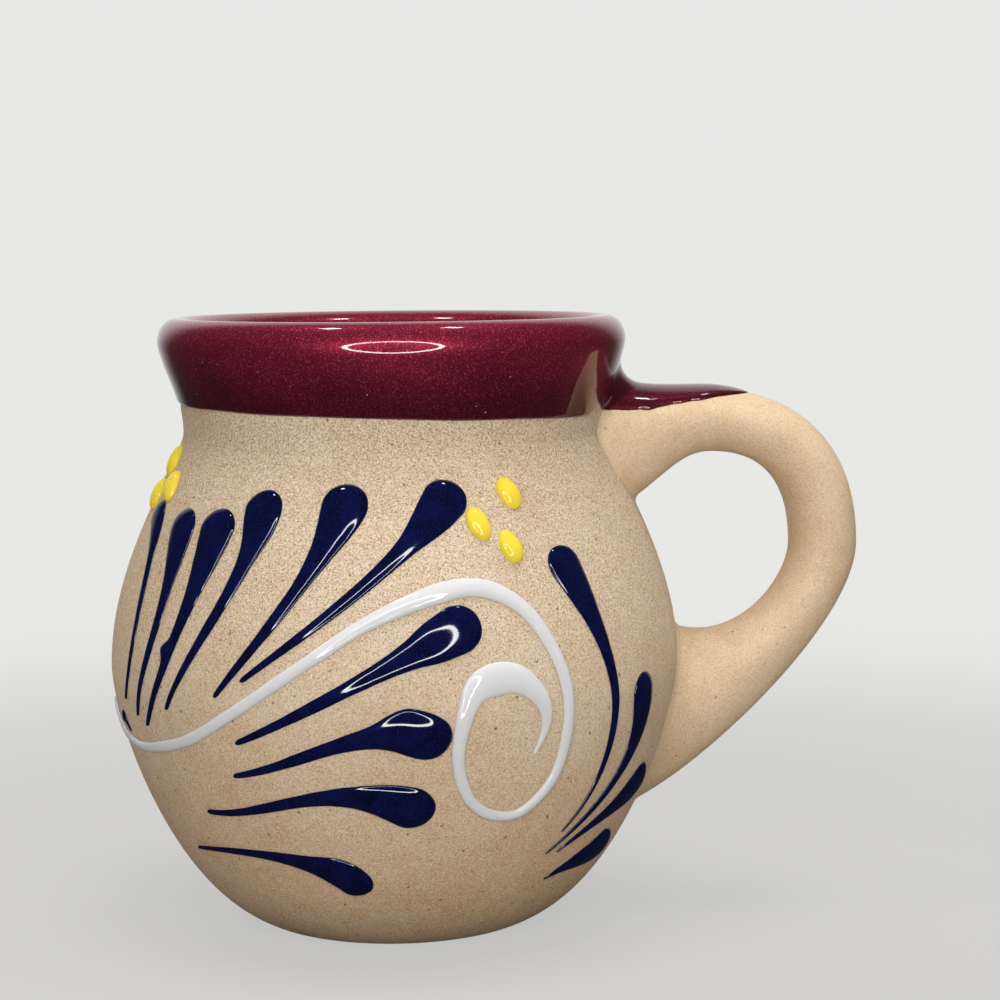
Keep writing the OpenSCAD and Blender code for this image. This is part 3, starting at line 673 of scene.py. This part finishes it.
# Each stroke: head, two pulls and tail as (degrees, share of the rim's height), then its width share
# and the share of its length over which the bulb falls away. Some have a bulge: its distance from
# the head, how far out, its reach along the stroke and its extra height, in millimetres.
strokeTables = {
    "high_stroke": [
        [(163.5, 0.698), (151.5, 0.696), (149.5, 0.482), (157, 0.4), 0.62, 0.17],
        [(145.5, 0.71), (140.5, 0.585), (144, 0.505), (151.5, 0.38), 0.78, 0.22],
        [(132.5, 0.716), (131.5, 0.62), (139, 0.455), (148, 0.368), 0.87, 0.23, (23.7, 1.1, 1.4, 0.35)],
        [(121.5, 0.747), (118, 0.653), (129, 0.536), (139.5, 0.404), 0.81, 0.18],
        [(100, 0.758), (103, 0.658), (116.5, 0.526), (126, 0.436), 0.87, 0.21],
        [(75.5, 0.758), (86, 0.668), (107, 0.542), (120, 0.464), 0.85, 0.17]],
    "low_stroke": [
        [(74, 0.56), (93.5, 0.493), (107, 0.416), (122, 0.366), 0.92, 0.21],
        [(80, 0.375), (96, 0.421), (106.5, 0.339), (124, 0.311), 0.89, 0.21, (7.5, 1.1, 3.0, 0.0)],
        [(83, 0.255), (103.5, 0.336), (115, 0.244), (134.5, 0.241), 0.87, 0.23],
        [(98, 0.118), (107.5, 0.198), (130, 0.179), (145.5, 0.164), 0.66, 0.28, (5.5, 0.9, 3.5, 0.0)]],
    "near_stroke": [
        [(54, 0.656), (51.5, 0.592), (33, 0.338), (51, 0.201), 0.75, 0.2],
        [(35, 0.444), (30.5, 0.318), (36.5, 0.259), (53.5, 0.165), 0.72, 0.3],
        [(21.5, 0.27), (30, 0.224), (40, 0.21), (50, 0.164), 0.76, 0.37],
        [(27.5, 0.17), (31.5, 0.139), (39.5, 0.144), (50, 0.115), 0.79, 0.56]],
    "short_stroke": [
        [(162.5, 0.372), (161, 0.362), (160, 0.352), (158.5, 0.344), 0.3, 0.24]],
}


def onSide(places, side):
    # Shares of the rim's height become heights, and the back is the front mirrored
    flip = 1 if side == "front" else -1
    return np.asarray(places, float) * [flip, potShape["rimZ"]]


def strokeShell(row, side, seed, point):
    k = strokeShape
    line = bezier(*onSide(row[:4], side), np.linspace(0, 1, 400))
    w = k["width"] * row[4]

    def stations(length):
        turn = np.linspace(0, np.pi / 2, k["headRings"])
        tip = length - k["tail"] * w * (1 - np.sin(np.linspace(0, np.pi / 2, k["tipRings"])))
        body = np.linspace(w / 2, tip[0], k["tailRings"])
        return np.concatenate([w / 2 * (1 - np.cos(turn)), body[1:], tip[1:]])

    far, length, places = spaced(line, stations)
    # Half a circle at the head, then a bulb that falls away as a bell curve into a thin taper, and
    # near its end the taper may draw to a point
    head = np.clip(1 - far / (w / 2), 0, 1)
    u = np.clip((far - w / 2) / (length - w / 2), 0, 1)
    bulb = 1 - k["tail"] - k["taper"]
    shares = k["tail"] + k["taper"] * (1 - u) + bulb * np.exp(-(u / row[5]) ** 2)
    widths = w * np.sqrt(1 - head ** 2) * shares * (1 - point * u ** 6)
    tip = np.clip(1 - (length - far) / (k["tail"] * w), 0, 1)
    widths *= np.sqrt(np.clip(1 - tip ** 2, 0, 1))
    heights = k["tailHeight"] + (k["height"] - k["tailHeight"]) * widths / k["width"]
    heights *= np.sqrt(1 - head ** 4)
    widths *= 1 + k["waver"] * ripple(seed, far * k["waverRate"])
    aside = np.zeros_like(far)
    for at, out, reach, lift in row[6:]:
        bulge = np.exp(-((far - at) / reach) ** 2)
        widths, heights = widths + out * bulge, heights + lift * bulge
        aside += out / 2 * bulge * (1 if side == "front" else -1)
    return beadShell(places, widths, heights, k, aside)


scrollShape = {
    "width": 2.15, "height": 0.6, "rise": 0.2, "most": 1.1, "dome": (2.2, 1.8), "across": 20,
    "waver": 0.04, "waverRate": 0.5, "rings": 420, "endRings": 10,
}

# The white line: degrees, share of the rim's height, share of the line's width
scrollRows = [
    (174, 0.38, 0.4), (166, 0.34, 0.6), (155, 0.327, 0.7), (145.5, 0.336, 0.8), (133.5, 0.363, 0.85),
    (121, 0.419, 0.85), (107.5, 0.493, 0.9), (95.5, 0.556, 1.05), (82.5, 0.597, 1.4), (72.5, 0.603, 1.3),
    (64, 0.565, 1.1), (58, 0.482, 0.95), (56, 0.393, 0.9), (57.5, 0.304, 0.85), (63.5, 0.252, 0.8),
    (70.5, 0.251, 0.8), (76, 0.284, 0.85), (78.5, 0.349, 0.95), (77, 0.425, 1.35),
    (74, 0.462, 2.2), (67.5, 0.467, 2.05), (62.5, 0.434, 1.25), (61, 0.391, 0.75), (63, 0.345, 0.2)]


def throughRows(rows, steps):
    # A smooth line through every row: half of 2b + (c-a)t + (2a-5b+4c-d)t^2 + (3b-a-3c+d)t^3
    rows = np.asarray(rows, float)
    padded = np.vstack([rows[:1], rows, rows[-1:]])
    a, b, c, d = (padded[k:k + len(rows) - 1, None] for k in range(4))
    t = (np.arange(steps) / steps)[None, :, None]
    line = (2 * b + (c - a) * t + (2 * a - 5 * b + 4 * c - d) * t ** 2 + (3 * b - a - 3 * c + d) * t ** 3) / 2
    return np.vstack([line.reshape(-1, rows.shape[1]), rows[-1:]])


def scrollShell(side, seed):
    k = scrollShape
    rows = throughRows(scrollRows, 24)
    rows[:, :2] = onSide(rows[:, :2], side)
    ends = k["width"] / 2

    def stations(length):
        middle = np.linspace(ends, length - ends / 2, k["rings"])
        turn = np.linspace(0, np.pi / 2, k["endRings"])
        tip = length - ends / 2 * (1 - np.sin(turn))
        return np.concatenate([ends * (1 - np.cos(turn)), middle[1:-1], tip])

    far, length, places = spaced(rows, stations)
    start = np.clip(1 - far / ends, 0, 1)
    stop = np.clip(1 - (length - far) / (ends / 2), 0, 1)
    rounded = np.sqrt(np.clip((1 - start ** 2) * (1 - stop ** 2), 0, 1))
    waver = k["waver"] * ripple(seed, far * k["waverRate"])
    widths = k["width"] * places[:, 2] * rounded * (1 + waver)
    heights = k["height"] * np.minimum(places[:, 2] + k["rise"], k["most"]) * np.sqrt(rounded)
    return beadShell(places[:, :2], widths, heights, k)


dotShape = {
    "width": 3.4, "length": 4.9, "height": 1.2, "turn": 24.0, "uneven": 0.03, "fullness": 0.9,
    "rings": 14, "around": 40,
}
dotTables = {"dots": [(62.5, 0.739), (71.5, 0.697), (65, 0.661)],
             "far_dots": [(158.5, 0.737), (168.5, 0.719), (167, 0.773)]}


def dotShell(place, side, seed):
    # An oval dome: lift = height sqrt(1 - s^2)^fullness at the share s of the way to its turned outline
    k = dotShape
    s = np.sin(np.linspace(0, np.pi / 2, k["rings"] + 1)[1:])[:, None]
    a = np.arange(k["around"]) * 2 * np.pi / k["around"]
    edge = 1 + k["uneven"] * roundRipple(seed, a, [2, 3])
    u, v = s * k["width"] / 2 * np.cos(a) * edge, s * k["length"] / 2 * np.sin(a) * edge
    turn = np.radians(k["turn"])
    across, up = u * np.cos(turn) + v * np.sin(turn), v * np.cos(turn) - u * np.sin(turn)
    flip = 1 if side == "front" else -1
    centre = onSide(place, side)
    spread = np.stack([centre[0] + flip * np.degrees(across / potRadius(centre[1])), centre[1] + up], -1)
    lift, sink = beadSeat["lift"], beadSeat["sink"]
    dome = onPot(spread, lift + k["height"] * np.sqrt(np.clip(1 - s ** 2, 0, 1)) ** k["fullness"])
    under = onPot(centre + (spread[-1:] - centre) * np.array([1, 0.5])[:, None, None], -sink)
    return np.concatenate([dome, under]), onPot(centre, lift + k["height"]), onPot(centre, -sink)


seed = 100
for side in ("front", "back"):
    for kind, rows in strokeTables.items():
        point = strokeShape["nearPoint"] if kind == "near_stroke" else 0
        for number, row in enumerate(rows, 1):
            seed += 1
            node = f"{side}_{kind}" + (f"_{number}" if len(rows) > 1 else "")
            shell = strokeShell(row, side, seed, point)
            addPiece(node + "_slip", [shell], slips["navySlip"], [node])
    addPiece(side + "_scroll_slip", [scrollShell(side, seed + 500)], slips["whiteSlip"],
             [side + "_scroll"])
    for kind, places in dotTables.items():
        shells = [dotShell(place, side, seed + 600 + n) for n, place in enumerate(places)]
        addPiece(f"{side}_{kind}_slip", shells, slips["yellowSlip"], [f"{side}_{kind}"])
    print(side, "slip made")


# Floor, lamps and camera

stageShape = {
    "floorReach": 3000.0, "floorDrop": 0.02,  # the floor lies a hair under the foot
    "floor": rgb(152, 149, 146), "floorRoughness": 0.7, "floorSpecular": 0.1,
    "backdrop": rgb(232, 232, 231),
    "near": 110.0, "far": 340.0,  # where the floor starts and ends its turn into the backdrop
    "nearShare": 0.62, "glossyFloor": 0.25, "glossyFront": 0.03, "glossyBack": 1.0, "roomLight": 0.36,
    "skyPull": 0.4, "skyRange": (0.68, 1.0),  # how far the backdrop that gloss sees reaches
}


def seenShare(f, glossyShare):
    # 1 for rays of the camera and through glass, and glossyShare for rays off gloss
    path = [f.node("ShaderNodeLightPath", out=name)
            for name in ("Is Camera Ray", "Is Transmission Ray", "Is Glossy Ray")]
    return f.math("MINIMUM", path[0] + path[1] + path[2] * glossyShare, 1.0)


def floorMaterial(k):
    # A grey floor that turns into the pale backdrop with distance, and keeps the shadow near the pot
    f = newFinish("paleFloor")
    away = f.node("ShaderNodeVectorMath", {"operation": "LENGTH"}, {0: f.millimetres()}, out="Value")
    pale = k["nearShare"] + f.step(k["near"], k["far"], away) * (1 - k["nearShare"])
    grey = f.node("ShaderNodeBsdfPrincipled", {}, {
        "Base Color": k["floor"], "Roughness": k["floorRoughness"],
        "Specular IOR Level": k["floorSpecular"]})
    glow = f.node("ShaderNodeEmission", {}, {"Color": k["backdrop"], "Strength": 1.0})
    return f.close(f.node("ShaderNodeMixShader", {}, {
        0: seenShare(f, k["glossyFloor"]) * pale, 1: grey, 2: glow}))


def addFloor(k):
    reach, z = k["floorReach"] * mm, -k["floorDrop"] * mm
    mesh = bpy.data.meshes.new("floor")
    corners = [(-reach, -reach, z), (reach, -reach, z), (reach, reach, z), (-reach, reach, z)]
    mesh.from_pydata(corners, [], [(0, 1, 2, 3)])
    mesh.materials.append(floorMaterial(k))
    floor = bpy.data.objects.new("floor", mesh)
    bpy.context.scene.collection.objects.link(floor)
    floor.visible_glossy = False  # gloss sees the room's lower half and the whole ring lamp instead


def addWorld(k):
    # The pale backdrop all round, which gloss sees only behind the pot, and a plain white light
    world = bpy.data.worlds.new("room")
    bpy.context.scene.world = world
    world.use_nodes = True
    f = Finish(world)
    compass = f.node("ShaderNodeTexCoord", out="Generated")
    ahead, up = (f.node("ShaderNodeSeparateXYZ", {}, {0: compass}, out=axis) for axis in (1, 2))
    behind = f.step(*k["skyRange"], ahead + up * k["skyPull"])
    shown = f.node("ShaderNodeBackground", {}, {"Color": k["backdrop"], "Strength": 1.0})
    light = f.node("ShaderNodeBackground", {}, {"Color": (1, 1, 1, 1), "Strength": k["roomLight"]})
    path = [f.node("ShaderNodeLightPath", out=name) for name in ("Is Camera Ray", "Is Transmission Ray")]
    gloss = f.node("ShaderNodeLightPath", out="Is Glossy Ray")
    dim = f.node("ShaderNodeBackground", {}, {"Color": k["backdrop"], "Strength": k["glossyFront"]})
    mixed = f.node("ShaderNodeMixShader", {}, {0: path[0] + path[1], 1: light, 2: shown})
    bright = f.node("ShaderNodeBackground", {}, {"Color": k["backdrop"], "Strength": k["glossyBack"]})
    glossy = f.node("ShaderNodeMixShader", {}, {0: behind, 1: dim, 2: bright})
    f.close(f.node("ShaderNodeMixShader", {}, {0: gloss, 1: mixed, 2: glossy}), "ShaderNodeOutputWorld")


# A ring lamp round the camera, which shows as thin loops in the gloss
ringLamp = {"centre": (4.0, -408.0, 110.0), "radius": 165.0, "tube": 12.0, "strength": 21.5, "around": 96}


def addRingLamp(k):
    # A flat ring between radius - tube and radius + tube, upright and facing the pot
    a = np.arange(k["around"]) * 2 * np.pi / k["around"]
    circle = np.stack([np.cos(a), np.zeros_like(a), np.sin(a)], -1)
    points = np.vstack([circle * (k["radius"] - k["tube"]), circle * (k["radius"] + k["tube"])]) + k["centre"]
    i = np.arange(k["around"])
    j = (i + 1) % k["around"]
    faces = np.stack([i, j, j + k["around"], i + k["around"]], -1)
    mesh = bpy.data.meshes.new("ringLamp")
    mesh.from_pydata((points * mm).tolist(), [], faces.tolist())
    glow = newFinish("ringLampGlow")
    mesh.materials.append(glow.close(glow.node("ShaderNodeEmission", {}, {"Strength": k["strength"]})))
    lamp = bpy.data.objects.new("ringLamp", mesh)
    bpy.context.scene.collection.objects.link(lamp)
    lamp.visible_camera = False
    lamp.visible_shadow = False


# Lamps that point from their place to their aim
softBoxes = {
    "overheadBox": {
        "place": (60, -60, 640), "aim": (0, 0, 50), "size": (420, 420), "power": 2.6, "inGloss": False},
    "backBox": {
        "place": (-350, 500, 450), "aim": (0, 0, 50), "size": (500, 400), "power": 1.5, "inGloss": False},
    "leftCeilingLamp": {
        "place": (-184, -40, 697), "aim": (0, 0, 90), "size": (60, 60), "power": 0.32, "inGloss": True},
    "rightCeilingLamp": {
        "place": (184, -40, 697), "aim": (0, 0, 90), "size": (60, 60), "power": 0.32, "inGloss": True},
}


def addSoftBox(name, k):
    lamp = bpy.data.lights.new(name, "AREA")
    lamp.shape, lamp.energy = "RECTANGLE", k["power"]
    lamp.size, lamp.size_y = k["size"][0] * mm, k["size"][1] * mm
    box = bpy.data.objects.new(name, lamp)
    box.location = np.array(k["place"]) * mm
    back = np.array(k["place"], float) - np.array(k["aim"], float)
    side = np.cross((0, 1, 0) if abs(back[2]) > 0.99 * np.linalg.norm(back) else (0, 0, 1), back)
    axes = [side / np.linalg.norm(side), np.cross(back, side), back]
    box.rotation_euler = Matrix([(a / np.linalg.norm(a)).tolist() for a in axes]).transposed().to_euler()
    bpy.context.scene.collection.objects.link(box)
    box.visible_camera, box.visible_glossy = False, k["inGloss"]


cameraShape = {
    "place": (0.0, -399.96, 108.10), "pitch": 0.10142, "yaw": 0.04302, "roll": -0.00804,  # radians
    "focalPixels": 2472.16, "imagePixels": 1000, "sensor": 36.0, "clip": (0.01, 20),  # clip in metres
}


def addCamera(k):
    # Looks along +Y, turned by yaw towards +X, pitched down and rolled about its own axis
    cy, sy, cp, sp = np.cos(k["yaw"]), np.sin(k["yaw"]), np.cos(k["pitch"]), np.sin(k["pitch"])
    ahead, right = np.array([sy * cp, cy * cp, -sp]), np.array([cy, -sy, 0])
    up = np.cross(right, ahead)
    cr, sr = np.cos(k["roll"]), np.sin(k["roll"])
    axes = np.stack([cr * right + sr * up, -sr * right + cr * up, -ahead], -1)
    data = bpy.data.cameras.new("camera")
    data.sensor_width = k["sensor"]
    data.lens = k["sensor"] * k["focalPixels"] / k["imagePixels"]
    data.clip_start, data.clip_end = k["clip"]
    camera = bpy.data.objects.new("camera", data)
    bpy.context.scene.collection.objects.link(camera)
    place = Matrix.Translation((np.array(k["place"]) * mm).tolist())
    camera.matrix_world = place @ Matrix(axes.tolist()).to_4x4()
    bpy.context.scene.camera = camera


addFloor(stageShape)
addWorld(stageShape)
addRingLamp(ringLamp)
for name, box in softBoxes.items():
    addSoftBox(name, box)
addCamera(cameraShape)
bpy.context.scene.view_settings.view_transform = "Standard"
print("stage, lamps and camera made")
